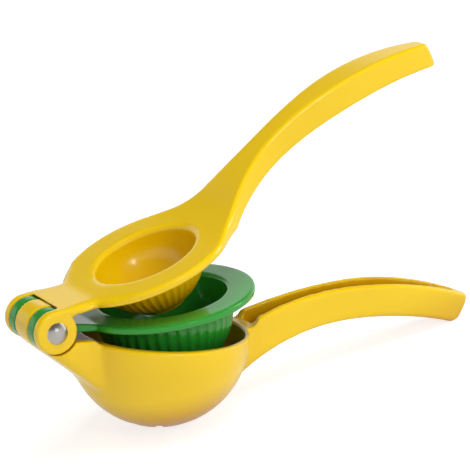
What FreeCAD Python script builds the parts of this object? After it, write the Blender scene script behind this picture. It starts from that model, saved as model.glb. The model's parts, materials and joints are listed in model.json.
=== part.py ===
"""Hinged lemon squeezer: two enamelled lever arms, a lime cup between them and one rivet.

The pieces are drawn in the hinge frame: the hinge axis is the Y axis, X runs along the closed
handles and Z is square to the bowl's rim. Each piece is then turned about the hinge to its place
in the half open rest position, and the whole stands on the bowl's flat land and the lower heel.
"""
import FreeCAD, Part
import math
import os
import Sketcher

from FreeCAD import Placement, Rotation, Vector

DRIVING = (
    ("hinge_width", "33.2", "outer face to outer face of the two ears"),
    ("ear_thickness", "4.4", "each ear of the upper arm"),
    ("ear_radius", "9.0", "rounded end of each ear"),
    ("lug_radius", "8.8", "rounded end of the lime cup's two lugs"),
    ("barrel_width", "11.8", "hinge barrel of the lower arm"),
    ("barrel_radius", "9.0", "hinge barrel of the lower arm"),
    ("side_gap", "0.15", "gap between neighbouring knuckles"),
    ("swing_gap", "0.4", "gap round each knuckle in its pocket"),
    ("rivet_diameter", "5.0", "shank of the hinge rivet"),
    ("running_fit", "0.05", "radial clearance of the rivet in a knuckle that turns"),
    ("rivet_fit", "0.02", "radial clearance of the rivet in the ears that hold it"),
    ("head_radius", "4.5", "domed rivet head"),
    ("head_height", "1.9", "domed rivet head"),
    ("bowl_reach", "55.0", "hinge axis to the middle of the bowl's mouth"),
    ("rim_drop", "6.2", "hinge axis down to the bowl's rim"),
    ("mouth_radius", "34.3", "bowl mouth"),
    ("bowl_wall", "3.6", "bowl wall at the rim"),
    ("bowl_setback", "1.6", "outer bowl set back towards the hinge"),
    ("bowl_straight", "2.7", "upright part of the bowl's outer side under the rim"),
    ("bowl_floor", "3.2", "bowl wall at the bottom"),
    ("land_depth", "0.7", "flat land cut from the bottom of the bowl"),
    ("rim_round", "0.8", "rounding of cast edges at a rim"),
    ("slot_width", "2.6", "juice slot"),
    ("slot_length", "9.0", "juice slot"),
    ("slot_ring", "11.5", "middle of the juice slots from the cup's axis"),
    ("flange_overhang", "0.4", "lime cup flange beyond the bowl's outer side"),
    ("flange_thickness", "3.1", "lime cup flange"),
    ("flange_gap", "0.15", "rim to the closed flange"),
    ("flange_room", "3.2", "pocket radius beyond the flange"),
    ("seat_round", "4.0", "rounded foot of the pocket's wall"),
    ("lime_radius", "26.5", "inside of the lime cup"),
    ("lime_wall", "2.0", "lime cup wall at the flange"),
    ("lime_straight", "3.1", "upright part of the lime cup's outer side under the flange"),
    ("lime_floor", "2.4", "lime cup wall at the bottom"),
    ("lime_lip_round", "1.3", "rounded lip of the lime cup"),
    ("lime_neck_rise", "3.4", "lime cup neck's upper line above the hinge axis"),
    ("lime_neck_drop", "1.3", "lime cup neck's lower line below the hinge axis"),
    ("lime_neck_shoulder", "2.8", "that upper line's end inside the flange's edge"),
    ("lime_neck_foot", "3.3", "that lower line's end inside the flange's edge"),
    ("lime_neck_bite", "6.0", "lime cup neck's end inside the flange's edge"),
    ("flute_radius", "1.5", "flutes cut in both cups"),
    ("flute_depth", "0.8", "flutes cut in both cups"),
    ("flute_sweep", "64.0", "flutes, degrees down the ball of the cup"),
    ("press_reach", "52.1", "hinge axis to the middle of the press cup"),
    ("collar_radius", "36.4", "collar round the press cup"),
    ("collar_top", "3.9", "hinge axis up to the collar's top"),
    ("collar_thickness", "3.6", "collar's skirt, top to bottom"),
    ("press_radius", "21.6", "inside of the press cup"),
    ("press_wall", "2.1", "press cup wall at the collar"),
    ("press_straight", "2.2", "upright part of the press cup's outer side"),
    ("press_floor", "2.5", "press cup wall at the bottom"),
    ("press_lip_round", "2.3", "rounded lip of the press cup"),
    ("plate_start", "2.7", "hinge axis to the end of the upper neck's plate, inside the ears"),
    ("plate_run", "20.4", "hinge axis to where the plate meets the collar's top"),
    ("plate_thickness", "2.4", "upper neck's plate"),
    ("cheek_bottom", "3.0", "hinge axis up to the upper neck's lower edge at the ear"),
    ("neck_top", "4.4", "hinge axis down to the lower neck's cheeks"),
    ("neck_run", "26.0", "lower neck's underside, along X from the hinge"),
    ("neck_tip", "4.8", "lower neck's cheeks start beyond the underside's nearest point"),
    ("neck_fall", "0.7133", "slope of the lower neck's underside"),
    ("neck_round", "4.5", "rounded lower edges of the lower neck"),
    ("handle_wall", "2.6", "side walls of both handle channels"),
    ("handle_web", "3.0", "back of both handle channels"),
    ("handle_inside", "5.3", "lower handle's root inside the bowl's outer side"),
    ("waist_reach", "124.0", "hinge axis to the narrowest place of a handle"),
    ("waist_half_width", "6.5", "handle there"),
    ("belly_reach", "163.0", "hinge axis to the widest place of a handle"),
    ("belly_half_width", "8.5", "handle there"),
    ("tip_corner", "4.0", "rounded corners of a handle's tip, seen from above"),
    ("tip_solid", "7.0", "solid end beyond each handle channel"),
    ("channel_step", "1.5", "lower channel's start inside the flange's pocket"),
    ("channel_corner", "2.0", "rounded end corners of each handle channel"),
    ("arm_round", "1.4", "rounded upper edges of both arms"),
    ("under_round", "0.9", "rounded lower edges of both arms"),
    ("ear_round", "1.2", "rounded outer edges of the ears and the upper neck"),
    ("tip_rake", "1.0", "a tip's end face is drawn to this far beyond the tip"),
    ("lower_tip", "201.0", "hinge axis to the end of the lower handle"),
    ("lower_crest_reach", "151.0", "hinge axis to the top of the lower handle's walls"),
    ("lower_crest", "7.6", "hinge axis up to that top"),
    ("lower_crest_arc", "155.0", "arc of the walls' top edge"),
    ("arch_reach", "152.0", "hinge axis to the top of the lower handle's hollow underside"),
    ("arch_drop", "6.5", "hinge axis down to that place"),
    ("arch_near_arc", "115.0", "arc of the underside towards the bowl"),
    ("arch_far_arc", "150.0", "arc of the underside towards the tip"),
    ("heel_reach", "192.5", "hinge axis to the middle of the rounded heel"),
    ("heel_radius", "5.0", "rounded heel of the lower handle"),
    ("upper_tip", "203.6", "hinge axis to the end of the upper handle"),
    ("tip_lean", "1.6", "upper tip's top edge set back from its lower edge"),
    ("upper_crest_reach", "163.0", "hinge axis to the top of the upper handle"),
    ("upper_crest", "30.1", "hinge axis up to that top"),
    ("upper_near_arc", "138.0", "arc of its back towards the collar"),
    ("upper_far_arc", "130.0", "arc of its back towards the tip"),
    ("upper_blend_arc", "45.0", "hollow between the collar's top and the handle's back"),
    ("grip_reach", "165.0", "hinge axis to the top of the upper handle's lower edge"),
    ("grip_rise", "18.3", "hinge axis up to that place"),
    ("grip_near_arc", "176.0", "arc of the lower edge towards the collar"),
    ("grip_far_arc", "140.0", "arc of the lower edge towards the tip"),
)
FLUTES = 40
SLOTS = 8
SLOT_END_SHARE = 0.55  # radius of a slot's rounded end, as a share of its width
CORNER_SHARE = 0.98  # most of a tip's half width that a rounded corner may take
MOST_LEAN = 0.15  # rise of a unit normal on a face that still counts as upright
LEAST_FACING = 0.35  # rise of a unit normal on a face that counts as looking up or down
LIME_OPEN_ANGLE = 11.7
UPPER_OPEN_ANGLE = 25.9

doc = FreeCAD.newDocument("lemon_squeezer")
sheet = doc.addObject("Spreadsheet::Sheet", "Sizes")
for row, (alias, number, note) in enumerate(DRIVING, 1):
    sheet.set(f"A{row}", note)
    sheet.set(f"B{row}", number)
    sheet.setAlias(f"B{row}", alias)
doc.recompute()


class Size:
    """A length with the formula over the sheet's cells that gives it."""

    def __init__(self, value, formula):
        self.value = value
        self.formula = formula

    @staticmethod
    def of(other):
        return other if isinstance(other, Size) else Size(float(other), f"{float(other):.6f}")

    def join(self, other, sign, value):
        return Size(value, f"({self.formula} {sign} {Size.of(other).formula})")

    def __add__(self, other):
        return self.join(other, "+", self.value + Size.of(other).value)

    def __sub__(self, other):
        return self.join(other, "-", self.value - Size.of(other).value)

    def __mul__(self, other):
        return self.join(other, "*", self.value * Size.of(other).value)

    def __truediv__(self, other):
        return self.join(other, "/", self.value / Size.of(other).value)

    def __radd__(self, other):
        return Size.of(other) + self

    def __rsub__(self, other):
        return Size.of(other) - self

    def __rmul__(self, other):
        return Size.of(other) * self

    def __neg__(self):
        return Size.of(0) - self


def root(size):
    return Size(math.sqrt(size.value), f"sqrt({size.formula})")


def hypotenuse(across, along):
    return root(across * across + along * along)


def other_leg(hypot, leg):
    return root(hypot * hypot - leg * leg)


class Sizes:
    """The driving dimensions by name."""


s = Sizes()
for alias, number, note in DRIVING:
    setattr(s, alias, Size(float(number), "Sizes." + alias))
ZERO = Size.of(0)

half_hinge = s.hinge_width / 2
ear_inside = half_hinge - s.ear_thickness
lug_outside = ear_inside - s.side_gap
lug_inside = s.barrel_width / 2 + s.side_gap
pocket_radius = s.barrel_radius + s.swing_gap
rim = -s.rim_drop
flange_bottom = rim + s.flange_gap
flange_top = flange_bottom + s.flange_thickness
collar_bottom = s.collar_top - s.collar_thickness
bowl_middle = s.bowl_reach - s.bowl_setback
bowl_radius = s.mouth_radius + s.bowl_wall
flange_radius = bowl_radius + s.flange_overhang
shank_radius = s.rivet_diameter / 2
OVER = Size.of(5)


def bind(thing, **sizes):
    """Drives properties of a document object; a double underscore stands for a dot."""
    for name, size in sizes.items():
        path = name.replace("__", ".")
        if "." in path:
            path = "." + path
        thing.setExpression(path, Size.of(size).formula)


class Corner:
    """A corner of an outline, with the arc that leads on from it, where there is one."""

    def __init__(self, across, up, arc=None, left=False):
        self.across = Size.of(across)
        self.up = Size.of(up)
        self.arc = arc
        self.left = left


def arc_centre(start, end, radius, left):
    """Centre of the shorter arc from start to end, on the left or the right of that way."""
    chord = end - start
    middle = (start + end) * 0.5
    height = math.sqrt(max(radius ** 2 - chord.Length ** 2 / 4, 0.0))
    side = Vector(-chord.y, chord.x, 0).normalize()
    return middle + side * (height if left else -height)


def draw(sketch, corners):
    """Fills a sketch with a closed outline whose corners and radii follow the sheet."""
    points = [Vector(c.across.value, c.up.value, 0) for c in corners]
    count = len(corners)
    ends = []
    for i, corner in enumerate(corners):
        start, end = points[i], points[(i + 1) % count]
        if corner.arc is None:
            sketch.addGeometry(Part.LineSegment(start, end), False)
            ends.append((1, 2))
            continue
        centre = arc_centre(start, end, corner.arc.value, corner.left)
        first = math.atan2(start.y - centre.y, start.x - centre.x)
        last = math.atan2(end.y - centre.y, end.x - centre.x)
        circle = Part.Circle(centre, Vector(0, 0, 1), corner.arc.value)
        if corner.left:
            sketch.addGeometry(Part.ArcOfCircle(circle, first, last), False)
            ends.append((1, 2))
        else:
            sketch.addGeometry(Part.ArcOfCircle(circle, last, first), False)
            ends.append((2, 1))
    for i, corner in enumerate(corners):
        following = (i + 1) % count
        sketch.addConstraint(
            Sketcher.Constraint("Coincident", i, ends[i][1], following, ends[following][0]))
        for kind, size in (("DistanceX", corner.across), ("DistanceY", corner.up)):
            index = sketch.addConstraint(
                Sketcher.Constraint(kind, -1, 1, i, ends[i][0], size.value))
            sketch.setExpression(f"Constraints[{index}]", size.formula)
        if corner.arc is not None:
            index = sketch.addConstraint(Sketcher.Constraint("Radius", i, corner.arc.value))
            sketch.setExpression(f"Constraints[{index}]", corner.arc.formula)


UPRIGHT = Rotation(Vector(1, 0, 0), 90)
FLAT = Rotation()
ACROSS = Rotation(Vector(1, 0, 0), -90)


def sketch(name, corners, turn=UPRIGHT, along=ZERO, up=ZERO):
    """A free outline, upright in the XZ plane or flat in the XY plane."""
    made = doc.addObject("Sketcher::SketchObject", name)
    made.Placement = Placement(Vector(along.value, 0, up.value), turn)
    bind(made, Placement__Base__x=along, Placement__Base__z=up)
    draw(made, corners)
    return made


def slab(name, corners, thickness, turn=UPRIGHT, up=ZERO):
    """An outline given the thickness, half to each side of its plane."""
    made = doc.addObject("Part::Extrusion", name)
    made.Base = sketch(name + "_outline", corners, turn, up=up)
    made.DirMode = "Normal"
    made.Symmetric = True
    made.Solid = True
    bind(made, LengthFwd=thickness)
    return made


def turned(name, corners, along, up):
    """A solid of revolution about an upright axis."""
    made = doc.addObject("Part::Revolution", name)
    made.Source = sketch(name + "_section", corners, along=along, up=up)
    made.Axis = Vector(0, 0, 1)
    made.Base = Vector(along.value, 0, 0)
    made.Angle = 360
    made.Solid = True
    bind(made, Base__x=along)
    return made


def hinge_cylinder(name, radius, start, length):
    """A cylinder on the hinge axis."""
    made = doc.addObject("Part::Cylinder", name)
    made.Placement = Placement(Vector(0, start.value, 0), ACROSS)
    bind(made, Radius=radius, Height=length, Placement__Base__y=start)
    return made


def fuse(name, *shapes):
    made = doc.addObject("Part::MultiFuse", name)
    made.Shapes = list(shapes)
    return made


def cut(name, base, *tools):
    made = doc.addObject("Part::Cut", name)
    made.Base = base
    made.Tool = tools[0] if len(tools) == 1 else fuse(name + "_tools", *tools)
    return made


def common(name, first, second):
    made = doc.addObject("Part::MultiCommon", name)
    made.Shapes = [first, second]
    return made


def rounded(name, base, radius, wanted):
    """Fillets the edges of base for which wanted(edge) is true."""
    doc.recompute()
    numbers = [n for n, edge in enumerate(base.Shape.Edges, 1) if wanted(edge)]
    if not numbers:
        raise RuntimeError(f"{name}: no edge to round")
    made = doc.addObject("Part::Fillet", name)
    made.Base = base
    made.Edges = [(n, radius.value, radius.value) for n in numbers]
    return made


def middle(edge):
    return edge.valueAt((edge.FirstParameter + edge.LastParameter) / 2)


def on_outline(base, way):
    """A test for the edges where an upright wall meets what looks up (1) or down (-1)."""
    def test(edge):
        spot = middle(edge)
        looks = []
        for face in base.Shape.Faces:
            if any(other.isSame(edge) for other in face.Edges):
                looks.append(face.normalAt(*face.Surface.parameter(spot)).z * way)
        return len(looks) == 2 and abs(min(looks)) < MOST_LEAN and max(looks) > LEAST_FACING
    return test


def softened(name, base):
    """Rounds a cast bar along its upper and its lower outline."""
    upper = rounded(name + "_above", base, s.arm_round, on_outline(base, 1))
    return rounded(name + "_below", upper, s.under_round, on_outline(upper, -1))


def near(first, second, tolerance=0.01):
    return abs(first - second) < tolerance


class Dome:
    """A cup in half section: a short upright side that runs into half a ball."""

    def __init__(self, radius, straight):
        self.radius = radius
        self.straight = straight
        self.depth = radius + straight

    def hollow(self, wall, floor):
        return Dome(self.radius - wall, self.straight + wall - floor)

    def outward(self):
        """From the bottom on the axis out and up to the mouth."""
        return [Corner(ZERO, -self.depth, self.radius, True),
                Corner(self.radius, -self.straight)]

    def inward(self, start, lip):
        """From the lip's rounding down to the bottom on the axis."""
        return [Corner(self.radius + lip, start, lip, True),
                Corner(self.radius, start - lip),
                Corner(self.radius, -self.straight, self.radius, False),
                Corner(ZERO, -self.depth)]


def plane_of(body, role):
    return next(f for f in body.Origin.OriginFeatures if f.Role == role)


def body_sketch(body, name, role, across=ZERO, up=ZERO, out=ZERO):
    """An empty sketch on one of the body's own planes, moved along the plane's axes."""
    made = body.newObject("Sketcher::SketchObject", name)
    made.AttachmentSupport = (plane_of(body, role), [""])
    made.MapMode = "FlatFace"
    made.AttachmentOffset = Placement(Vector(across.value, up.value, out.value), Rotation())
    bind(made, AttachmentOffset__Base__x=across, AttachmentOffset__Base__y=up,
         AttachmentOffset__Base__z=out)
    return made


def draw_circle(made, across, up, radius):
    circle = Part.Circle(Vector(across.value, up.value, 0), Vector(0, 0, 1), radius.value)
    index = made.addGeometry(circle, False)
    for kind, size in (("DistanceX", across), ("DistanceY", up)):
        where = made.addConstraint(Sketcher.Constraint(kind, -1, 1, index, 3, size.value))
        made.setExpression(f"Constraints[{where}]", size.formula)
    where = made.addConstraint(Sketcher.Constraint("Radius", index, radius.value))
    made.setExpression(f"Constraints[{where}]", radius.formula)


def draw_turning_axis(made, across):
    """A construction line parallel to the sketch's upright axis."""
    line = Part.LineSegment(Vector(across.value, -1, 0), Vector(across.value, 1, 0))
    index = made.addGeometry(line, True)
    for end, up in ((1, -1), (2, 1)):
        where = made.addConstraint(
            Sketcher.Constraint("DistanceX", -1, 1, index, end, across.value))
        made.setExpression(f"Constraints[{where}]", across.formula)
        made.addConstraint(Sketcher.Constraint("DistanceY", -1, 1, index, end, up))


def revolve(body, name, section):
    made = body.newObject("PartDesign::Revolution", name)
    made.Profile = section
    made.ReferenceAxis = (section, ["V_Axis"])
    made.Angle = 360
    return made


def both_ways(feature, width):
    """Gives a pad or pocket half its width to each side of its sketch."""
    feature.Type = "Length"
    feature.Midplane = True
    bind(feature, Length=width)
    return feature


def fluted_cup(body, section_corners, dome, along, top):
    """Turns a cup's section in the body and cuts flutes down its outer side."""
    section = body_sketch(body, body.Name + "_section", "XZ_Plane", along, top)
    draw(section, section_corners)
    revolve(body, body.Name + "_turned", section)
    ring = dome.radius + s.flute_radius - s.flute_depth
    outline = body_sketch(body, body.Name + "_flute_outline", "XY_Plane", along, ZERO,
                          top - dome.straight)
    draw_circle(outline, ring, ZERO, s.flute_radius)
    draw_turning_axis(outline, ZERO)
    doc.recompute()
    volumes = [body.Shape.Volume]
    upright = body.newObject("PartDesign::Pocket", body.Name + "_flute_top")
    upright.Profile = outline
    upright.Type = "Length"
    upright.Reversed = True
    bind(upright, Length=dome.straight)
    doc.recompute()
    volumes.append(body.Shape.Volume)
    groove = body.newObject("PartDesign::Groove", body.Name + "_flute")
    groove.Profile = outline
    groove.ReferenceAxis = (outline, ["Axis0"])
    bind(groove, Angle=s.flute_sweep)
    doc.recompute()
    volumes.append(body.Shape.Volume)
    print(f"{body.Name}: volume before and after a flute", [round(v, 2) for v in volumes])
    if not volumes[0] > volumes[1] > volumes[2]:
        raise RuntimeError(f"{body.Name}: a flute cuts nothing")
    pattern(body, body.Name + "_flutes", [upright, groove], section, FLUTES)
    return section


def pattern(body, name, features, axis_sketch, count):
    made = body.newObject("PartDesign::PolarPattern", name)
    made.Originals = features
    made.Axis = (axis_sketch, ["V_Axis"])
    made.Angle = 360
    made.Occurrences = count
    body.Tip = made
    return made


def make_lime_cup():
    """Green insert: flange, fluted cup, and a neck that carries two lugs of the hinge."""
    body = doc.addObject("PartDesign::Body", "lime_cup")
    outer = Dome(s.lime_radius + s.lime_wall, s.lime_straight)
    inner = outer.hollow(s.lime_wall, s.lime_floor)
    edge = flange_radius
    thick = s.flange_thickness
    corners = outer.outward() + [
        Corner(outer.radius, ZERO),
        Corner(edge - s.rim_round, ZERO, s.rim_round, True),
        Corner(edge, s.rim_round),
        Corner(edge, thick - s.rim_round, s.rim_round, True),
        Corner(edge - s.rim_round, thick),
    ] + inner.inward(thick, s.lime_lip_round)
    section = fluted_cup(body, corners, outer, s.bowl_reach, flange_bottom)

    neck_outline = body_sketch(body, "lime_neck_outline", "XZ_Plane")
    flange_start = s.bowl_reach - flange_radius
    inside = flange_start + s.lime_neck_bite
    draw(neck_outline, [
        Corner(ZERO, -s.lime_neck_drop),
        Corner(flange_start + s.lime_neck_foot, flange_bottom),
        Corner(inside, flange_bottom + s.rim_round),
        Corner(inside, flange_top - s.rim_round),
        Corner(flange_start + s.lime_neck_shoulder, flange_top),
        Corner(ZERO, s.lime_neck_rise),
    ])
    neck = body.newObject("PartDesign::Pad", "lime_neck")
    neck.Profile = neck_outline
    both_ways(neck, lug_outside * 2)

    lug_outline = body_sketch(body, "lime_lug_outline", "XZ_Plane")
    draw_circle(lug_outline, ZERO, ZERO, s.lug_radius)
    lugs = body.newObject("PartDesign::Pad", "lime_lugs")
    lugs.Profile = lug_outline
    both_ways(lugs, lug_outside * 2)

    room_outline = body_sketch(body, "barrel_room_outline", "XZ_Plane")
    draw_circle(room_outline, ZERO, ZERO, pocket_radius)
    room = body.newObject("PartDesign::Pocket", "barrel_room")
    room.Profile = room_outline
    both_ways(room, lug_inside * 2)

    bore_outline = body_sketch(body, "lime_bore_outline", "XZ_Plane")
    draw_circle(bore_outline, ZERO, ZERO, shank_radius + s.running_fit)
    bore = body.newObject("PartDesign::Pocket", "lime_bore")
    bore.Profile = bore_outline
    both_ways(bore, s.hinge_width)

    slot_outline = body_sketch(body, "lime_slot_outline", "XY_Plane", s.bowl_reach, ZERO,
                               flange_bottom - s.lime_straight)
    draw(slot_outline, slot_corners())
    slot = body.newObject("PartDesign::Pocket", "lime_slot")
    slot.Profile = slot_outline
    slot.Type = "Length"
    bind(slot, Length=outer.radius + OVER)
    doc.recompute()
    pattern(body, "lime_slots", [slot], section, SLOTS)
    return body


def slot_corners():
    """A juice slot along X with rounded ends."""
    near_end = s.slot_ring - s.slot_length / 2
    far_end = s.slot_ring + s.slot_length / 2
    half = s.slot_width / 2
    bow = s.slot_width * SLOT_END_SHARE
    return [Corner(near_end, -half), Corner(far_end, -half, bow, True),
            Corner(far_end, half), Corner(near_end, half, bow, True)]


def make_rivet():
    """Steel rivet with a domed head at each end, upset over the ears."""
    body = doc.addObject("PartDesign::Body", "hinge_rivet")
    section = body_sketch(body, "rivet_section", "XY_Plane")
    dome = (s.head_radius * s.head_radius + s.head_height * s.head_height) / (s.head_height * 2)
    end = half_hinge + s.head_height
    draw(section, [
        Corner(ZERO, -end, dome, True),
        Corner(s.head_radius, -half_hinge),
        Corner(shank_radius, -half_hinge),
        Corner(shank_radius, half_hinge),
        Corner(s.head_radius, half_hinge, dome, True),
        Corner(ZERO, end),
    ])
    revolve(body, "rivet_turned", section)
    return body


half_way = (s.belly_reach - s.waist_reach) / 2
half_swell = (s.belly_half_width - s.waist_half_width) / 2
side_arc = (half_way * half_way + half_swell * half_swell) / (half_swell * 2)


def handle_plan(inset, start, end):
    """A handle from above: hollow sides round the waist, full sides round the belly."""
    hollow = side_arc + inset
    full = side_arc - inset
    start_half = s.waist_half_width + side_arc - other_leg(hollow, s.waist_reach - start)
    turn = s.waist_reach + half_way * hollow / side_arc
    turn_half = s.waist_half_width + side_arc - (side_arc - half_swell) * hollow / side_arc
    end_half = s.belly_half_width - side_arc + other_leg(full, end - s.belly_reach)
    return [
        Corner(start, -start_half, hollow, False),
        Corner(turn, -turn_half, full, True),
        Corner(end, -end_half),
        Corner(end, end_half, full, True),
        Corner(turn, turn_half, hollow, False),
        Corner(start, start_half),
    ]


def upper_plan(inset, end):
    """The upper arm from above: collar, flare and handle."""
    reach = s.waist_reach - s.press_reach
    half = s.waist_half_width
    flare = ((reach * reach + half * half - s.collar_radius * s.collar_radius)
             / ((s.collar_radius - half) * 2))
    centres = s.collar_radius + flare
    collar = s.collar_radius - inset
    meet = s.press_reach + collar * reach / centres
    meet_half = collar * (half + flare) / centres
    handle = handle_plan(inset, s.waist_reach, end)
    handle[-1] = Corner(s.waist_reach, half - inset, flare + inset, False)
    return [Corner(meet, -meet_half, flare + inset, False)] + handle + [
        Corner(meet, meet_half, collar, True),
        Corner(s.press_reach - collar, ZERO, collar, True),
    ]


def with_tip_corners(name, plan, tip, radius):
    """Rounds the two upright edges of a plan slab at its tip, as far as its width allows."""
    def at_tip(edge):
        spot = middle(edge)
        upright = abs(edge.Vertexes[0].Z - edge.Vertexes[-1].Z) > 1
        return upright and near(spot.x, tip.value)
    doc.recompute()
    half_width = max(middle(edge).y for edge in plan.Shape.Edges if at_tip(edge))
    return rounded(name, plan, Size.of(min(radius.value, half_width * CORNER_SHARE)), at_tip)


arch_near_up = -s.arch_drop - s.arch_near_arc
arch_far_up = -s.arch_drop - s.arch_far_arc
crest_up = s.lower_crest - s.lower_crest_arc
heel_up = arch_far_up + other_leg(s.arch_far_arc + s.heel_radius, s.heel_reach - s.arch_reach)
ball_up = rim - s.bowl_straight
handle_root = bowl_middle + bowl_radius - s.handle_inside
HANDLE_SPACE = (s.upper_crest + s.arch_drop) * 3


def lower_side():
    """The lower handle from the side, with its hollow underside and rounded heel."""
    root_low = arch_near_up + other_leg(s.arch_near_arc, s.arch_reach - handle_root)
    root_high = crest_up + other_leg(s.lower_crest_arc, s.lower_crest_reach - handle_root)
    top = s.lower_tip + s.tip_rake
    top_up = crest_up + other_leg(s.lower_crest_arc, top - s.lower_crest_reach)
    share = s.arch_far_arc / (s.arch_far_arc + s.heel_radius)
    foot = s.arch_reach + (s.heel_reach - s.arch_reach) * share
    foot_up = arch_far_up + (heel_up - arch_far_up) * share
    across = top - s.heel_reach
    rise = top_up - heel_up
    span = across * across + rise * rise
    radius = s.heel_radius
    reach = root(span - radius * radius)
    back = s.heel_reach + (radius * radius * across + radius * reach * rise) / span
    back_up = heel_up + (radius * radius * rise - radius * reach * across) / span
    return [
        Corner(handle_root, root_low, s.arch_near_arc, False),
        Corner(s.arch_reach, -s.arch_drop, s.arch_far_arc, False),
        Corner(foot, foot_up, radius, True),
        Corner(back, back_up),
        Corner(top, top_up, s.lower_crest_arc, True),
        Corner(handle_root, root_high),
    ]


def lower_channel_side(start, end):
    """The lower handle's channel from the side: the underside's arcs, raised by the web."""
    near_arc = s.arch_near_arc + s.handle_web
    far_arc = s.arch_far_arc + s.handle_web
    top_up = s.lower_crest + OVER
    return [
        Corner(start, arch_near_up + other_leg(near_arc, s.arch_reach - start),
               near_arc, False),
        Corner(s.arch_reach, s.handle_web - s.arch_drop, far_arc, False),
        Corner(end, arch_far_up + other_leg(far_arc, end - s.arch_reach)),
        Corner(end, top_up),
        Corner(start, top_up),
    ]


def make_lower_handle():
    end = s.lower_tip - s.tip_solid
    plan = slab("lower_plan", handle_plan(ZERO, handle_root, s.lower_tip), HANDLE_SPACE, FLAT)
    plan = with_tip_corners("lower_plan_rounded", plan, s.lower_tip, s.tip_corner)
    bar = common("lower_bar", slab("lower_side", lower_side(), s.hinge_width), plan)
    bar = softened("lower_bar", bar)
    start = s.bowl_reach + flange_radius + s.flange_room - s.channel_step
    hollow = slab("lower_channel_plan", handle_plan(s.handle_wall, start, end),
                  HANDLE_SPACE, FLAT)
    hollow = with_tip_corners("lower_channel_end", hollow, end, s.channel_corner)
    hollow = with_tip_corners("lower_channel_ends", hollow, start, s.channel_corner)
    channel = common("lower_channel",
                     slab("lower_channel_side", lower_channel_side(start, end), s.hinge_width),
                     hollow)
    return cut("lower_handle", bar, channel)


def make_lower_neck():
    """Block between the bowl and the hinge; its underside is tangent to the barrel."""
    steep = hypotenuse(s.neck_fall, 1)
    foot = -s.barrel_radius * s.neck_fall / steep
    foot_up = -s.barrel_radius / steep
    end = foot + s.neck_tip / steep
    end_up = foot_up - s.neck_tip * s.neck_fall / steep
    low = foot_up - (s.neck_run - foot) * s.neck_fall
    inside = s.neck_run + OVER
    block = slab("neck_block", [
        Corner(end, end_up),
        Corner(s.neck_run, low),
        Corner(inside, low),
        Corner(inside, -s.neck_top),
        Corner(ZERO, -s.neck_top),
    ], s.hinge_width)

    def lower_edge(edge):
        spot = middle(edge)
        ends = [vertex.Point for vertex in edge.Vertexes]
        outer = near(abs(spot.y), half_hinge.value)
        falling = abs(ends[0].x - ends[1].x) > 1 and abs(ends[0].z - ends[1].z) > 1
        return outer and falling and spot.z < end_up.value - 1
    cheeks = rounded("neck_cheeks", block, s.neck_round, lower_edge)
    barrel_root = slab("barrel_root", [
        Corner(foot, foot_up),
        Corner(end * 2 - foot, end_up * 2 - foot_up),
        Corner(ZERO, ZERO),
    ], s.barrel_width)
    return cheeks, barrel_root


across = s.heel_reach - bowl_middle
rise = heel_up - ball_up
stand = bowl_radius - s.land_depth
step = stand - s.heel_radius
span = across * across + rise * rise
run = root(span - step * step)
down = (step * across + run * rise) / span
down_up = (step * rise - run * across) / span


def make_land():
    """What is cut from the bowl so that it stands flat while the heel touches the table."""
    foot = bowl_middle + down * stand
    foot_up = ball_up + down_up * stand
    wide = -down_up * bowl_radius
    tall = down * bowl_radius
    return slab("land", [
        Corner(foot - wide + down * OVER, foot_up - tall + down_up * OVER),
        Corner(foot + wide + down * OVER, foot_up + tall + down_up * OVER),
        Corner(foot + wide, foot_up + tall),
        Corner(foot - wide, foot_up - tall),
    ], bowl_radius * 2)


def make_bowl_slots():
    """Upright tools for the juice slots, turned so that none lies under the handle."""
    tools = []
    for number in range(SLOTS):
        tool = slab(f"bowl_slot_{number}", slot_corners(), bowl_radius, FLAT, ball_up - bowl_radius)
        outline = tool.Base
        turn = Rotation(Vector(0, 0, 1), 360 * (number + 0.5) / SLOTS)
        outline.Placement = Placement(outline.Placement.Base, turn)
        bind(outline, Placement__Base__x=s.bowl_reach)
        tools.append(tool)
    return tools


def make_lower_arm():
    """Yellow casting: bowl, neck with the hinge barrel, and the lower handle."""
    outer = Dome(bowl_radius, s.bowl_straight)
    bowl = turned("bowl", outer.outward() + [
        Corner(outer.radius, -s.rim_round, s.rim_round, True),
        Corner(outer.radius - s.rim_round, ZERO),
        Corner(ZERO, ZERO),
    ], bowl_middle, rim)
    inner = outer.hollow(s.bowl_wall, s.bowl_floor)
    hollow = turned("bowl_hollow", [
        Corner(ZERO, OVER),
        Corner(inner.radius + s.rim_round, OVER),
    ] + inner.inward(ZERO, s.rim_round), s.bowl_reach, rim)
    room = flange_radius + s.flange_room
    seat = turned("flange_seat", [
        Corner(ZERO, ZERO),
        Corner(room - s.seat_round, ZERO, s.seat_round, True),
        Corner(room, s.seat_round),
        Corner(room, s.barrel_radius * 2),
        Corner(ZERO, s.barrel_radius * 2),
    ], s.bowl_reach, rim)
    knuckle_room = s.ear_radius + s.swing_gap
    side_room = half_hinge + OVER - s.barrel_width / 2
    left_room = hinge_cylinder("left_knuckle_room", knuckle_room, s.barrel_width / 2, side_room)
    right_room = hinge_cylinder("right_knuckle_room", knuckle_room, -half_hinge - OVER, side_room)
    neck_room = slab("lime_neck_room", [
        Corner(ZERO, rim),
        Corner(s.bowl_reach - flange_radius + OVER, rim),
        Corner(s.bowl_reach - flange_radius + OVER, OVER),
        Corner(ZERO, OVER),
    ], ear_inside * 2)
    cheeks, barrel_root = make_lower_neck()
    solid = fuse("lower_solid", bowl, cheeks, make_lower_handle())
    open_arm = cut("lower_open", solid, hollow, seat, left_room, right_room, neck_room,
                   make_land(), *make_bowl_slots())
    barrel = hinge_cylinder("barrel", s.barrel_radius, -s.barrel_width / 2, s.barrel_width)
    bore = hinge_cylinder("barrel_bore", shank_radius + s.running_fit, -half_hinge, s.hinge_width)
    return cut("lower_arm", fuse("lower_with_barrel", open_arm, barrel, barrel_root), bore)


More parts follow.
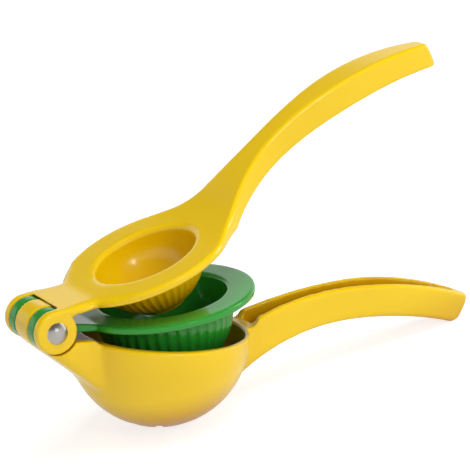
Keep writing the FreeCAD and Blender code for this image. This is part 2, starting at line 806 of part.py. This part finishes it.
back_up = s.upper_crest - s.upper_near_arc
blend_up = s.collar_top + s.upper_blend_arc
blend_reach = s.upper_crest_reach - other_leg(s.upper_near_arc + s.upper_blend_arc,
                                              blend_up - back_up)


def upper_back(web, end):
    """The upper arm's back from the side, tip to collar, lowered by the web."""
    centres = s.upper_near_arc + s.upper_blend_arc
    near_arc = s.upper_near_arc - web
    far_arc = s.upper_far_arc - web
    far_up = s.upper_crest - s.upper_far_arc
    meet = s.upper_crest_reach + (blend_reach - s.upper_crest_reach) * near_arc / centres
    meet_up = back_up + (blend_up - back_up) * near_arc / centres
    return [
        Corner(end, far_up + other_leg(far_arc, end - s.upper_crest_reach), far_arc, True),
        Corner(s.upper_crest_reach, s.upper_crest - web, near_arc, True),
        Corner(meet, meet_up, s.upper_blend_arc + web, False),
        Corner(blend_reach, s.collar_top - web),
        Corner(ZERO, s.collar_top - web),
    ]


def upper_side():
    grip_near_up = s.grip_rise - s.grip_near_arc
    grip_far_up = s.grip_rise - s.grip_far_arc
    top = s.upper_tip + s.tip_rake
    start = s.grip_reach - other_leg(s.grip_near_arc, collar_bottom - grip_near_up)
    return [
        Corner(ZERO, collar_bottom),
        Corner(start, collar_bottom, s.grip_near_arc, False),
        Corner(s.grip_reach, s.grip_rise, s.grip_far_arc, False),
        Corner(top, grip_far_up + other_leg(s.grip_far_arc, top - s.grip_reach)),
    ] + upper_back(ZERO, s.upper_tip - s.tip_lean)


def make_plate():
    """Collar and upper handle as a skin: a web with a skirt all round."""
    end = s.upper_tip - s.tip_solid
    low = collar_bottom - OVER
    plan = slab("upper_plan", upper_plan(ZERO, s.upper_tip), HANDLE_SPACE, FLAT)
    plan = with_tip_corners("upper_plan_rounded", plan, s.upper_tip, s.tip_corner)
    whole = common("upper_plate", slab("upper_side", upper_side(), s.collar_radius * 3), plan)
    whole = softened("upper_plate", whole)
    hollow = slab("upper_channel_plan", upper_plan(s.handle_wall, end), HANDLE_SPACE, FLAT)
    hollow = with_tip_corners("upper_channel_rounded", hollow, end, s.channel_corner)
    corners = [Corner(ZERO, low), Corner(end, low)] + upper_back(s.handle_web, end)
    side = slab("upper_channel_side", corners, s.collar_radius * 3)
    return cut("upper_skin", whole, common("upper_channel", side, hollow))


def tangent_from(reach, rise, radius):
    """Where a line from a point touches, on its upper side, a circle about the hinge."""
    span = reach * reach + rise * rise
    leg = root(span - radius * radius)
    touch = radius * (radius * reach - leg * rise) / span
    touch_up = radius * (radius * rise + leg * reach) / span
    return touch, touch_up


def make_upper_neck():
    """Plate with two cheeks that end in the round ears."""
    foot = s.plate_run + OVER
    ear = s.ear_radius
    touch, touch_up = tangent_from(s.plate_run, s.collar_top, ear)

    def on_side(edge):
        spot = middle(edge)
        return near(abs(spot.y), half_hinge.value) and spot.x < s.plate_run.value
    block = slab("upper_neck", [
        Corner(other_leg(ear, s.cheek_bottom), s.cheek_bottom),
        Corner(s.plate_run, collar_bottom),
        Corner(foot, collar_bottom),
        Corner(foot, s.collar_top),
        Corner(s.plate_run, s.collar_top),
        Corner(touch, touch_up, ear, True),
        Corner(-ear, ZERO, ear, True),
        Corner(ZERO, -ear, ear, True),
    ], s.hinge_width)
    return rounded("upper_neck_rounded", block, s.ear_round, on_side)


def make_upper_neck_rooms():
    """What the lime cup's neck and the knuckles need between the two cheeks."""
    touch, touch_up = tangent_from(s.plate_run, s.collar_top, s.ear_radius)
    run = s.plate_run - touch
    fall = (touch_up - s.collar_top) / run
    under = s.collar_top - s.plate_thickness * hypotenuse(fall, 1)
    end = (s.press_reach - other_leg(s.collar_radius - s.handle_wall, ear_inside)
           + s.rim_round)
    low = -s.ear_radius * 2
    below = slab("upper_neck_room", [
        Corner(ZERO, low),
        Corner(end, low),
        Corner(end, under - (end - s.plate_run) * fall),
        Corner(ZERO, under + s.plate_run * fall),
    ], ear_inside * 2)
    beyond = slab("upper_plate_end", [
        Corner(low, low),
        Corner(s.plate_start, low),
        Corner(s.plate_start, -low),
        Corner(low, -low),
    ], ear_inside * 2)
    return below, beyond


def make_press_cup():
    """The press cup's outer shape, with its flutes."""
    body = doc.addObject("PartDesign::Body", "press_cup")
    outer = Dome(s.press_radius + s.press_wall, s.press_straight)
    corners = outer.outward() + [Corner(outer.radius, ZERO), Corner(ZERO, ZERO)]
    fluted_cup(body, corners, outer, s.press_reach, s.collar_top)
    return body


def make_upper_arm():
    """Yellow casting: press cup in its collar, neck with two ears, and the upper handle."""
    press = make_press_cup()
    inner = Dome(s.press_radius + s.press_wall, s.press_straight).hollow(
        s.press_wall, s.press_floor)
    hollow = turned("press_hollow", [
        Corner(ZERO, OVER),
        Corner(inner.radius + s.press_lip_round, OVER),
    ] + inner.inward(ZERO, s.press_lip_round), s.press_reach, s.collar_top)
    knuckle_room = hinge_cylinder("upper_knuckle_room", pocket_radius, -ear_inside, ear_inside * 2)
    bore = hinge_cylinder("ear_bore", shank_radius + s.rivet_fit, -half_hinge - OVER,
                          (half_hinge + OVER) * 2)
    solid = fuse("upper_solid", make_plate(), make_upper_neck(), press)
    return cut("upper_arm", solid, hollow, knuckle_room, *make_upper_neck_rooms(), bore)


tilt = math.degrees(math.atan2(down.value, -down_up.value))


def stand_up(node, open_angle):
    """Opens a piece about the hinge and stands it with the bowl's land on the table."""
    opened = Placement(Vector(), Rotation(Vector(0, -1, 0), open_angle))
    tilted = Placement(Vector(), Rotation(Vector(0, 1, 0), tilt))
    centred = Placement(Vector(-bowl_middle.value, 0, -ball_up.value), Rotation())
    lifted = Placement(Vector(0, 0, stand.value), Rotation())
    node.Placement = lifted * tilted * centred * opened
    return node.Placement.Base


nodes = [
    (make_lower_arm(), 0.0),
    (make_lime_cup(), LIME_OPEN_ANGLE),
    (make_upper_arm(), UPPER_OPEN_ANGLE),
    (make_rivet(), UPPER_OPEN_ANGLE),
]
doc.recompute()
for node, open_angle in nodes:
    node.Label = node.Name
    hinge = stand_up(node, open_angle)
doc.recompute()
print("hinge axis passes", [round(value, 4) for value in hinge], "tilt", round(tilt, 4))

faults = [thing.Name for thing in doc.Objects if {"Invalid", "Error"} & set(thing.State)]
for node, open_angle in nodes:
    if node.Shape.isNull() or not node.Shape.isValid() or len(node.Shape.Solids) != 1:
        faults.append(node.Label)
if faults:
    raise RuntimeError("not built: " + ", ".join(faults))
os.makedirs("parts", exist_ok=True)
for node, open_angle in nodes:
    node.Shape.exportStep(f"parts/{node.Label}.step")
    print(node.Label, round(node.Shape.Volume, 1), "mm3", node.Shape.BoundBox)
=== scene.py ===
"""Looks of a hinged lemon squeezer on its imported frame: enamelled castings, a steel rivet, soft light.

Each casting gets a skin made from the frame's own solid: its inner corners are filled as a foundry
fills them and its edges are softened as under enamel. The rivet keeps the frame's mesh. The pale floor,
the studio light and the camera of the photograph are made here too.
"""
import json
import logging
import math
from dataclasses import dataclass, field
from enum import Enum
from typing import Any, Optional

import bmesh
import bpy
import numpy as np
from mathutils import Matrix, Vector


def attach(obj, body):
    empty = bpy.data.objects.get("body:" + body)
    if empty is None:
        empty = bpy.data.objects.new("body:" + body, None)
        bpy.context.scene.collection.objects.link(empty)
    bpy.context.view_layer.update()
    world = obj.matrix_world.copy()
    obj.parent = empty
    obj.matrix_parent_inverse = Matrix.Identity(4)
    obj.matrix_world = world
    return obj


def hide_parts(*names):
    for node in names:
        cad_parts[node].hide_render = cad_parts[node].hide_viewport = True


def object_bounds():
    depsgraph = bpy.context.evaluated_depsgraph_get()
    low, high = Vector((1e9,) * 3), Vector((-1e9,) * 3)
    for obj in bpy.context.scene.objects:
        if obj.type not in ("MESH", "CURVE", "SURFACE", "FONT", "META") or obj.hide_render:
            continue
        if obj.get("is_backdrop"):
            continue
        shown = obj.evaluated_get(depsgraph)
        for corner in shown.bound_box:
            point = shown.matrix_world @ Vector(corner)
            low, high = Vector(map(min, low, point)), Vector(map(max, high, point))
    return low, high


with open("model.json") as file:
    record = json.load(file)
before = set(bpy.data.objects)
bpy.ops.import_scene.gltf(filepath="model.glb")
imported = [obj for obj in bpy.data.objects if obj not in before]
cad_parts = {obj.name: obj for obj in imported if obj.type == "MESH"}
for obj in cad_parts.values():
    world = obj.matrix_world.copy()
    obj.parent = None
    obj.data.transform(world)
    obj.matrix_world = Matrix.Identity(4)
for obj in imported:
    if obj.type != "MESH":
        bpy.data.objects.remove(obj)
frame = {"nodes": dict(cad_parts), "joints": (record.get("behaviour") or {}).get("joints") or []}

MM = 0.001
HINGE = Vector(frame["joints"][0]["pos_m"])
# Degrees between the floor and the bowl's rim, as the squeezer stands.
RIM_TILT = 14.2133
# The sRGB curve is a straight foot and then a power of the offset value.
SRGB_FOOT_END = 0.04045
SRGB_FOOT_SLOPE = 12.92
SRGB_OFFSET = 0.055
SRGB_POWER = 2.4
# How far one round of softening moves a point to the mean of its neighbours.
SOFTEN_STEP = 0.5
# Keeps the length of a normal above nothing where it divides.
LEAST_LENGTH = 1e-30
log = logging.getLogger("squeezer")


def linear(hex_colour: str) -> tuple[float, float, float, float]:
    """Turns an sRGB hex colour to linear light.

    Args:
        hex_colour: Six hex digits after a hash sign.

    Returns:
        Linear red, green and blue, and an alpha of 1.
    """
    channels = []
    for start in (1, 3, 5):
        value = int(hex_colour[start:start + 2], 16) / 255
        foot = value / SRGB_FOOT_SLOPE
        curve = ((value + SRGB_OFFSET) / (1 + SRGB_OFFSET)) ** SRGB_POWER
        channels.append(foot if value <= SRGB_FOOT_END else curve)
    return channels[0], channels[1], channels[2], 1.0


def add_node(tree: bpy.types.NodeTree, kind: str, settings: Optional[dict[Any, Any]] = None,
             links: Optional[dict[Any, bpy.types.NodeSocket]] = None) -> bpy.types.Node:
    """Adds a node with its settings and links.

    Args:
        tree: The node tree to add to.
        kind: Blender's name of the node type.
        settings: A property or an input, by name or number, to its value.
        links: An input, by name or number, to the output that feeds it.

    Returns:
        The new node.
    """
    node = tree.nodes.new(kind)
    for name, value in (settings or {}).items():
        if isinstance(name, str) and hasattr(node, name):
            setattr(node, name, value)
        else:
            node.inputs[name].default_value = value
    for name, output in (links or {}).items():
        tree.links.new(output, node.inputs[name])
    return node


def per_metre(millimetres: float) -> float:
    """Gives the texture scale at which one feature is this wide."""
    return 1 / (millimetres * MM)


def direction(azimuth: float, elevation: float) -> Vector:
    """Gives the unit vector from the squeezer to a place around it.

    Args:
        azimuth: Degrees around: 0 in front of the squeezer, 90 beyond the handles' tips.
        elevation: Degrees above the floor.

    Returns:
        The unit vector.
    """
    turn = math.radians(azimuth)
    lift = math.radians(elevation)
    return Vector((math.sin(turn) * math.cos(lift), -math.cos(turn) * math.cos(lift),
                   math.sin(lift)))


def empty_material(name: str) -> bpy.types.Material:
    """Makes a node material with nothing in it.

    Args:
        name: The material's name.

    Returns:
        The material, its node tree empty.
    """
    material = bpy.data.materials.new(name)
    material.use_nodes = True
    material.node_tree.nodes.clear()
    return material


@dataclass(frozen=True)
class Enamel:
    """Stoved gloss enamel on cast aluminium: sprayed and flowed out in the oven.

    The eye gets a deep even colour under a sharp clear reflection, which the sprayed film's faint
    orange peel breaks up. The hollows and corners get a painted shade: the colour darkens towards the
    shade tone where ambient occlusion finds them closed in. The film's tone drifts in clouds, and its
    roughness varies in grains between two factors of the given one.
    """

    name: str
    film: str
    thin: str
    # The shade tone: a painted shade that hollows and corners darken towards.
    painted_shade: str
    roughness: float
    hollow_mm: float
    ior: float = 1.52
    peel_mm: float = 2.6
    peel_height_mm: float = 0.006
    grain_mm: float = 10.4
    cloud_mm: float = 38.0
    glossiest: float = 0.8
    dullest: float = 1.25

    def build(self) -> bpy.types.Material:
        """Makes the material.

        Returns:
            The enamel as a node material.
        """
        material = empty_material(self.name)
        tree = material.node_tree
        place = add_node(tree, "ShaderNodeTexCoord").outputs["Object"]
        cloud = add_node(tree, "ShaderNodeTexNoise",
                         {"Scale": per_metre(self.cloud_mm), "Detail": 1.0}, {"Vector": place})
        film = add_node(tree, "ShaderNodeMix",
                        {"data_type": "RGBA", 6: linear(self.film), 7: linear(self.thin)},
                        {0: cloud.outputs["Fac"]})
        # Painted shade: ambient occlusion darkens the colour towards the shade tone in hollows and
        # corners.
        painted_shade_mask = add_node(tree, "ShaderNodeAmbientOcclusion",
                            {"samples": 8, "Distance": self.hollow_mm * MM})
        painted_shade = add_node(tree, "ShaderNodeMix", {"data_type": "RGBA", 6: linear(self.painted_shade)},
                          {0: painted_shade_mask.outputs["AO"], 7: film.outputs[2]})
        grain = add_node(tree, "ShaderNodeTexNoise",
                         {"Scale": per_metre(self.grain_mm), "Detail": 3.0}, {"Vector": place})
        gloss = add_node(tree, "ShaderNodeMapRange",
                         {"To Min": self.roughness * self.glossiest,
                          "To Max": self.roughness * self.dullest},
                         {"Value": grain.outputs["Fac"]})
        peel = add_node(tree, "ShaderNodeTexNoise",
                        {"Scale": per_metre(self.peel_mm), "Detail": 1.0}, {"Vector": place})
        relief = add_node(tree, "ShaderNodeBump",
                          {"Strength": 1.0, "Distance": self.peel_height_mm * MM},
                          {"Height": peel.outputs["Fac"]})
        shader = add_node(tree, "ShaderNodeBsdfPrincipled", {"IOR": self.ior},
                          {"Base Color": painted_shade.outputs[2], "Roughness": gloss.outputs["Result"],
                           "Normal": relief.outputs["Normal"]})
        add_node(tree, "ShaderNodeOutputMaterial", links={"Surface": shader.outputs["BSDF"]})
        return material


@dataclass(frozen=True)
class HeadedSteel:
    """Plain carbon steel, cold headed and barrel polished: a bright domed head with faint round marks.

    The eye gets a soft mirror of the room that breaks into rings around the middle of the head, and
    stains that vary its roughness between two factors of the given one. The real marks are about
    0.05 mm apart, too fine to show, so they are drawn 0.4 mm apart.
    """

    name: str
    bare: str
    roughness: float
    axis: Vector
    ring_mm: float = 0.4
    ring_height_mm: float = 0.004
    stain_mm: float = 2.0
    glossiest: float = 0.7
    dullest: float = 1.5

    def build(self) -> bpy.types.Material:
        """Makes the material.

        Returns:
            The steel as a node material.
        """
        material = empty_material(self.name)
        tree = material.node_tree
        place = add_node(tree, "ShaderNodeTexCoord").outputs["Object"]
        centred = add_node(tree, "ShaderNodeVectorMath", {"operation": "SUBTRACT", 1: self.axis},
                           {0: place})
        # Without the part along the axis, the length is the reach from the axis.
        round_only = add_node(tree, "ShaderNodeVectorMath",
                              {"operation": "MULTIPLY", 1: (1, 0, 1)}, {0: centred.outputs[0]})
        reach = add_node(tree, "ShaderNodeVectorMath", {"operation": "LENGTH"},
                         {0: round_only.outputs[0]})
        rings = add_node(tree, "ShaderNodeTexNoise",
                         {"noise_dimensions": "1D", "Scale": per_metre(self.ring_mm)},
                         {"W": reach.outputs["Value"]})
        stains = add_node(tree, "ShaderNodeTexNoise",
                          {"Scale": per_metre(self.stain_mm), "Detail": 4.0}, {"Vector": place})
        gloss = add_node(tree, "ShaderNodeMapRange",
                         {"To Min": self.roughness * self.glossiest,
                          "To Max": self.roughness * self.dullest},
                         {"Value": stains.outputs["Fac"]})
        relief = add_node(tree, "ShaderNodeBump",
                          {"Strength": 1.0, "Distance": self.ring_height_mm * MM},
                          {"Height": rings.outputs["Fac"]})
        shader = add_node(tree, "ShaderNodeBsdfPrincipled",
                          {"Base Color": linear(self.bare), "Metallic": 1.0},
                          {"Roughness": gloss.outputs["Result"], "Normal": relief.outputs["Normal"]})
        add_node(tree, "ShaderNodeOutputMaterial", links={"Surface": shader.outputs["BSDF"]})
        return material


@dataclass
class Grid:
    """A closed mesh of quads as arrays, for moving its points all at once."""

    points: np.ndarray
    quads: np.ndarray
    ends: np.ndarray = field(init=False)
    others: np.ndarray = field(init=False)
    counts: np.ndarray = field(init=False)

    def __post_init__(self) -> None:
        """Lists each point's neighbours once."""
        ahead = np.roll(self.quads, -1, axis=1)
        self.ends = np.concatenate([self.quads.ravel(), ahead.ravel()])
        self.others = np.concatenate([ahead.ravel(), self.quads.ravel()])
        self.counts = np.bincount(self.ends, minlength=len(self.points))[:, None]

    def pulls(self) -> np.ndarray:
        """Gives the vector from each point to the mean of its neighbours."""
        sums = [np.bincount(self.ends, self.points[self.others, axis], len(self.points))
                for axis in range(3)]
        return np.stack(sums, axis=1) / self.counts - self.points

    def normals(self) -> np.ndarray:
        """Gives each point's unit normal, from the quads around it.

        Returns:
            One row for each point.
        """
        corner = self.points[self.quads]
        facing = np.cross(corner[:, 2] - corner[:, 0], corner[:, 3] - corner[:, 1])
        sums = [np.bincount(self.quads.ravel(), np.repeat(facing[:, axis], 4), len(self.points))
                for axis in range(3)]
        total = np.stack(sums, axis=1)
        return total / np.maximum(np.linalg.norm(total, axis=1, keepdims=True), LEAST_LENGTH)

    def soften(self, share: np.ndarray, rounds: int) -> None:
        """Evens the surface, so that corners and edges turn round.

        Args:
            share: How much of it each point takes, 0 to 1.
            rounds: How many times.
        """
        for _ in range(rounds):
            self.points += self.pulls() * share[:, None] * SOFTEN_STEP

    def fill(self, share: np.ndarray, rounds: int) -> None:
        """Fills inner corners only: a point moves out towards its neighbours and never in.

        Args:
            share: How much of it each point takes, 0 to 1.
            rounds: How many times.
        """
        for _ in range(rounds):
            normals = self.normals()
            out = np.sum(self.pulls() * normals, axis=1)
            self.points += normals * (np.maximum(out, 0) * share)[:, None]


def ramp(values: np.ndarray, start: float, end: float) -> np.ndarray:
    """Rises evenly from 0 at start to 1 at end.

    Args:
        values: Where to read it.
        start: The value that gives 0.
        end: The value that gives 1.

    Returns:
        Shares from 0 to 1.
    """
    return np.clip((values - start) / (end - start), 0, 1)


@dataclass
class Casting:
    """A cast piece: its skin comes from the frame's solid, with foundry blends, under enamel.

    Places are in millimetres in the piece's own lie: along its handle from the hinge, across, and
    up from the hinge with its rim level. The opening is in degrees from the closed squeezer. The
    whole skin is softened by a few rounds. The blends come on top of that and keep clear of the
    hinge's knuckles, where the pieces turn past each other.
    """

    node: str
    slot: str
    opened: float
    voxel_mm: float
    fill_rounds: int
    soft_rounds: int = 3
    hinge_clear: float = 11.0
    full_from: float = 15.0

    def own_places(self, points: np.ndarray) -> tuple[np.ndarray, np.ndarray, np.ndarray]:
        """Turns points of the frame to the piece's own lie.

        Args:
            points: Places in metres.

        Returns:
            Millimetres along, across and up.
        """
        turn = math.radians(RIM_TILT - self.opened)
        away = (points - np.array(HINGE)) / MM
        along = away[:, 0] * math.cos(turn) - away[:, 2] * math.sin(turn)
        up = away[:, 0] * math.sin(turn) + away[:, 2] * math.cos(turn)
        return along, np.abs(away[:, 1]), up

    def beyond_hinge(self, along: np.ndarray, up: np.ndarray) -> np.ndarray:
        """Gives each point's share by its reach from the hinge: none near it, all farther out."""
        return ramp(np.hypot(along, up), self.hinge_clear, self.full_from)

    def blend(self, grid: Grid) -> None:
        """Makes the casting's own blends: a plain casting has none."""

    def build(self, material: bpy.types.Material) -> None:
        """Makes the skin and puts it in the solid's place.

        Args:
            material: Its enamel.
        """
        solid = frame["nodes"][self.node]
        copy = bpy.data.objects.new("copy", solid.data)
        bpy.context.scene.collection.objects.link(copy)
        remesh = copy.modifiers.new("even", "REMESH")
        remesh.mode = "VOXEL"
        remesh.voxel_size = self.voxel_mm * MM
        depsgraph = bpy.context.evaluated_depsgraph_get()
        mesh = bpy.data.meshes.new_from_object(copy.evaluated_get(depsgraph))
        bpy.data.objects.remove(copy)
        flat = np.empty(len(mesh.vertices) * 3)
        mesh.vertices.foreach_get("co", flat)
        corners = np.empty(len(mesh.loops), dtype=np.int32)
        mesh.loops.foreach_get("vertex_index", corners)
        grid = Grid(flat.reshape(-1, 3), corners.reshape(-1, 4))
        grid.soften(np.ones(len(grid.points)), self.soft_rounds)
        self.blend(grid)
        mesh.vertices.foreach_set("co", grid.points.ravel())
        mesh.update()
        mesh.shade_smooth()
        mesh.name = self.node + "_skin"
        mesh.materials.clear()
        mesh.materials.append(material)
        skin = bpy.data.objects.new(self.node + "_skin", mesh)
        bpy.context.scene.collection.objects.link(skin)
        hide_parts(self.node)
        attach(skin, self.node)
        log.info("%s: %s, %d faces", skin.name, material.name, len(mesh.polygons))


@dataclass
class LowerArm(Casting):
    """The strainer bowl with its neck and the handle that is open on top.

    The seat is the round pocket in neck and handle that the green flange turns down into.
    """

    cheek_outside: float = 14.5
    below_rim: float = -9.0
    handle_start: float = 84.0
    seat_middle: float = 55.0
    seat_reach: float = 42.0
    seat_clear: float = 44.5
    seat_floor: float = -6.6
    seat_under: float = -7.6

    def blend(self, grid: Grid) -> None:
        """Fills the corners where the neck and the handle grow out of the bowl.

        The seat of the green flange isn't filled, because the flange comes down close above it.

        Args:
            grid: The skin so far.
        """
        along, across, up = self.own_places(grid.points)
        outside = (across > self.cheek_outside) | (up < self.below_rim) | (along > self.handle_start)
        share = self.beyond_hinge(along, up) * outside
        beyond_seat = ramp(np.hypot(along - self.seat_middle, across), self.seat_reach, self.seat_clear)
        share *= np.maximum(beyond_seat, 1 - ramp(up, self.seat_under, self.seat_floor))
        grid.fill(share, self.fill_rounds)
        grid.soften(share, self.soft_rounds)


@dataclass
class LimeCup(Casting):
    """The green insert between the two arms.

    Its flutes and the middle of its neck get no blends.
    """

    flange_start: float = 24.0
    flutes_start: float = 26.0
    hinge_clear: float = 12.0
    neck_inside: float = 10.5
    neck_side: float = 11.5

    def blend(self, grid: Grid) -> None:
        """Fills the corners between the neck's sides and the flange.

        Args:
            grid: The skin so far.
        """
        along, across, up = self.own_places(grid.points)
        share = self.beyond_hinge(along, up)
        share *= 1 - ramp(along, self.flange_start, self.flutes_start)
        share *= ramp(across, self.neck_inside, self.neck_side)
        grid.fill(share, self.fill_rounds)
        grid.soften(share, self.soft_rounds)


@dataclass
class UpperArm(Casting):
    """The press cup in its collar and the upper handle.

    The plate is the flat part between hinge and collar. The skirt hangs down all round the collar.
    """

    cheek_outside: float = 14.5
    cup_start: float = 27.0
    handle_start: float = 95.0
    skirt_foot: float = -1.0
    plate_end: float = 31.0
    plate_foot: float = 2.4
    plate_rounds: int = 60

    def blend(self, grid: Grid) -> None:
        """Fills the notch beside the collar and the channel, and evens the plate into the collar.

        Args:
            grid: The skin so far.
        """
        along, across, up = self.own_places(grid.points)
        clear = self.beyond_hinge(along, up)
        notch = (across > self.cheek_outside) & (along < self.cup_start) & (up > self.skirt_foot)
        grid.fill(clear * (notch | (along > self.handle_start)), self.fill_rounds)
        plate = clear * (1 - ramp(along, self.cup_start, self.plate_end)) * (up > self.plate_foot)
        grid.soften(plate, self.plate_rounds)


@dataclass
class Rivet:
    """The steel rivet that the ears hold; it keeps the frame's mesh."""

    node: str
    slot: str

    def build(self, material: bpy.types.Material) -> None:
        """Dresses the rivet.

        Args:
            material: Its steel.
        """
        rivet = frame["nodes"][self.node]
        rivet.data.materials.clear()
        rivet.data.materials.append(material)
        log.info("%s: %s, %d faces", self.node, material.name, len(rivet.data.polygons))


class Lamp(Enum):
    """The shapes of a studio lamp."""

    SOFTBOX = "RECTANGLE"
    ROUND = "DISK"


@dataclass(frozen=True)
class StudioLamp:
    """One lamp that looks at the squeezer.

    Angles are in degrees and lengths in metres. A lamp that isn't mirrored lights the enamel but
    leaves no reflection of itself in it.
    """

    name: str
    shape: Lamp
    azimuth: float
    elevation: float
    distance: float
    width: float
    height: float
    watts: float
    mirrored: bool = True

    def build(self, target: Vector) -> None:
        """Makes the lamp.

        Args:
            target: The point that it looks at.
        """
        way = direction(self.azimuth, self.elevation)
        data = bpy.data.lights.new(self.name, "AREA")
        data.shape = self.shape.value
        data.size = self.width
        data.size_y = self.height
        data.energy = self.watts
        lamp = bpy.data.objects.new(self.name, data)
        lamp.location = target + way * self.distance
        lamp.rotation_mode = "QUATERNION"
        lamp.rotation_quaternion = way.to_track_quat("Z", "Y")
        lamp.visible_glossy = self.mirrored
        bpy.context.scene.collection.objects.link(lamp)
        log.info("lamp %s", self.name)


@dataclass
class Studio:
    """Plain pale floor, a white backdrop that darkens overhead, and soft lamps.

    Lengths are in metres. The backdrop is full up to one elevation in degrees and has dimmed to its
    overhead level at the next.
    """

    floor_reach: float = 6.0
    floor_gap: float = 0.0001
    floor_sides: int = 64
    floor_colour: str = "#BFBFBD"
    floor_roughness: float = 0.9
    floor_glow: float = 0.37
    floor_seen_glow: float = 0.74
    backdrop: str = "#FFFFFF"
    backdrop_level: float = 0.88
    backdrop_end: float = 19.0
    dark_from: float = 27.0
    overhead_level: float = 0.12
    lamps: tuple[StudioLamp, ...] = (
        StudioLamp("front_softbox", Lamp.SOFTBOX, azimuth=12, elevation=26, distance=1.6,
                   width=1.0, height=0.8, watts=5.3, mirrored=False),
        StudioLamp("overhead_softbox", Lamp.SOFTBOX, azimuth=30, elevation=76, distance=1.4,
                   width=0.9, height=0.9, watts=14.5, mirrored=False),
        StudioLamp("right_strip", Lamp.SOFTBOX, azimuth=78, elevation=18, distance=1.4,
                   width=0.16, height=1.0, watts=3),
        StudioLamp("front_round", Lamp.ROUND, azimuth=6, elevation=22, distance=1.6,
                   width=0.3, height=0.3, watts=2.2),
    )

    def build(self) -> None:
        """Makes floor, surroundings and lamps."""
        self.lay_floor()
        self.light_air()
        low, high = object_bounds()
        for lamp in self.lamps:
            lamp.build((low + high) / 2)

    def lay_floor(self) -> None:
        """Makes the floor as a stage object."""
        mesh = bpy.data.meshes.new("floor")
        form = bmesh.new()
        bmesh.ops.create_circle(form, cap_ends=True, segments=self.floor_sides,
                                radius=self.floor_reach)
        form.to_mesh(mesh)
        form.free()
        floor = bpy.data.objects.new("floor", mesh)
        floor.location.z = -self.floor_gap
        bpy.context.scene.collection.objects.link(floor)
        material = empty_material("floor_matt_paper")
        tree = material.node_tree
        ray = add_node(tree, "ShaderNodeLightPath").outputs["Is Camera Ray"]
        glow = add_node(tree, "ShaderNodeMapRange",
                        {"To Min": self.floor_glow, "To Max": self.floor_seen_glow},
                        {"Value": ray})
        shader = add_node(tree, "ShaderNodeBsdfPrincipled",
                          {"Base Color": linear(self.floor_colour),
                           "Roughness": self.floor_roughness,
                           "Emission Color": linear(self.backdrop)},
                          {"Emission Strength": glow.outputs["Result"]})
        add_node(tree, "ShaderNodeOutputMaterial", links={"Surface": shader.outputs["BSDF"]})
        mesh.materials.append(material)
        floor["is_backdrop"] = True
        log.info("floor")

    def light_air(self) -> None:
        """Makes the surroundings: seen straight they are white, in light and mirrors dimmer."""
        world = bpy.data.worlds.new("studio_air")
        world.use_nodes = True
        tree = world.node_tree
        tree.nodes.clear()
        way = add_node(tree, "ShaderNodeTexCoord").outputs["Generated"]
        height = add_node(tree, "ShaderNodeSeparateXYZ", links={0: way}).outputs["Z"]
        level = add_node(tree, "ShaderNodeMapRange",
                         {"interpolation_type": "SMOOTHSTEP",
                          "From Min": math.sin(math.radians(self.backdrop_end)),
                          "From Max": math.sin(math.radians(self.dark_from)),
                          "To Min": self.backdrop_level, "To Max": self.overhead_level},
                         {"Value": height})
        around = add_node(tree, "ShaderNodeBackground", {"Color": linear(self.backdrop)},
                          {"Strength": level.outputs["Result"]})
        seen = add_node(tree, "ShaderNodeBackground", {"Color": linear(self.backdrop)})
        ray = add_node(tree, "ShaderNodeLightPath").outputs["Is Camera Ray"]
        both = add_node(tree, "ShaderNodeMixShader",
                        links={0: ray, 1: around.outputs[0], 2: seen.outputs[0]})
        add_node(tree, "ShaderNodeOutputWorld", links={"Surface": both.outputs[0]})
        bpy.context.scene.world = world
        log.info("surroundings")


@dataclass
class PhotoCamera:
    """The photograph's camera, placed from the hinge with the bowl's rim as level ground.

    Angles are in degrees and lengths in metres, but for the lens and the sensor. The hinge's place
    in the picture is given from its middle, as lengths square to the view: the negative values put
    it to the left and below.
    """

    azimuth: float = -28.51
    elevation: float = 12.89
    roll: float = 3.12
    distance: float = 1.248
    lens_mm: float = 236.87
    sensor_mm: float = 36.0
    hinge_across: float = -0.07843
    hinge_up: float = -0.03579
    nearest: float = 0.05
    farthest: float = 50.0

    def build(self) -> None:
        """Makes the camera and uses it for the scene."""
        turn = math.radians(self.azimuth)
        back = direction(self.azimuth, self.elevation)
        level = Vector((math.cos(turn), math.sin(turn), 0))
        lean = Matrix.Rotation(math.radians(self.roll), 3, back)
        right = lean @ level
        up = lean @ back.cross(level)
        tilt = Matrix.Rotation(math.radians(RIM_TILT), 3, "Y")
        eye = back * self.distance - right * self.hinge_across - up * self.hinge_up
        data = bpy.data.cameras.new("photo_camera")
        data.lens = self.lens_mm
        data.sensor_width = self.sensor_mm
        data.clip_start = self.nearest
        data.clip_end = self.farthest
        camera = bpy.data.objects.new("photo_camera", data)
        axes = Matrix((tilt @ right, tilt @ up, tilt @ back)).transposed()
        camera.matrix_world = Matrix.Translation(HINGE + tilt @ eye) @ axes.to_4x4()
        bpy.context.scene.collection.objects.link(camera)
        bpy.context.scene.camera = camera
        log.info("camera")


def main() -> None:
    logging.basicConfig(level=logging.INFO)
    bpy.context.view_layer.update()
    PhotoCamera().build()
    # The yellow is a warm lemon, with a painted shade of amber in its corners and hollows.
    yellow = Enamel("yellow_gloss_enamel", film="#EBC200", thin="#F0C806", painted_shade="#B37400",
                    roughness=0.16, hollow_mm=22.0).build()
    # The green is a leaf green, with a painted shade of bottle green in the flutes and hollows.
    green = Enamel("green_gloss_enamel", film="#238C28", thin="#2B962F", painted_shade="#0F5414",
                   roughness=0.12, hollow_mm=9.0).build()
    # The rivet is bare: a warm grey metal that mirrors the white room softly.
    steel = HeadedSteel("steel_polished_head", bare="#BDB9B4", roughness=0.30, axis=HINGE).build()
    LowerArm("lower_arm", "yellow_enamel", opened=0.0, voxel_mm=0.6, fill_rounds=60).build(yellow)
    LimeCup("lime_cup", "green_enamel", opened=11.7, voxel_mm=0.5, fill_rounds=40).build(green)
    UpperArm("upper_arm", "yellow_enamel", opened=25.9, voxel_mm=0.55, fill_rounds=40).build(yellow)
    Rivet("hinge_rivet", "rivet_steel").build(steel)
    Studio().build()
    bpy.context.scene.view_settings.view_transform = "Standard"


if __name__ == "__main__":
    main()
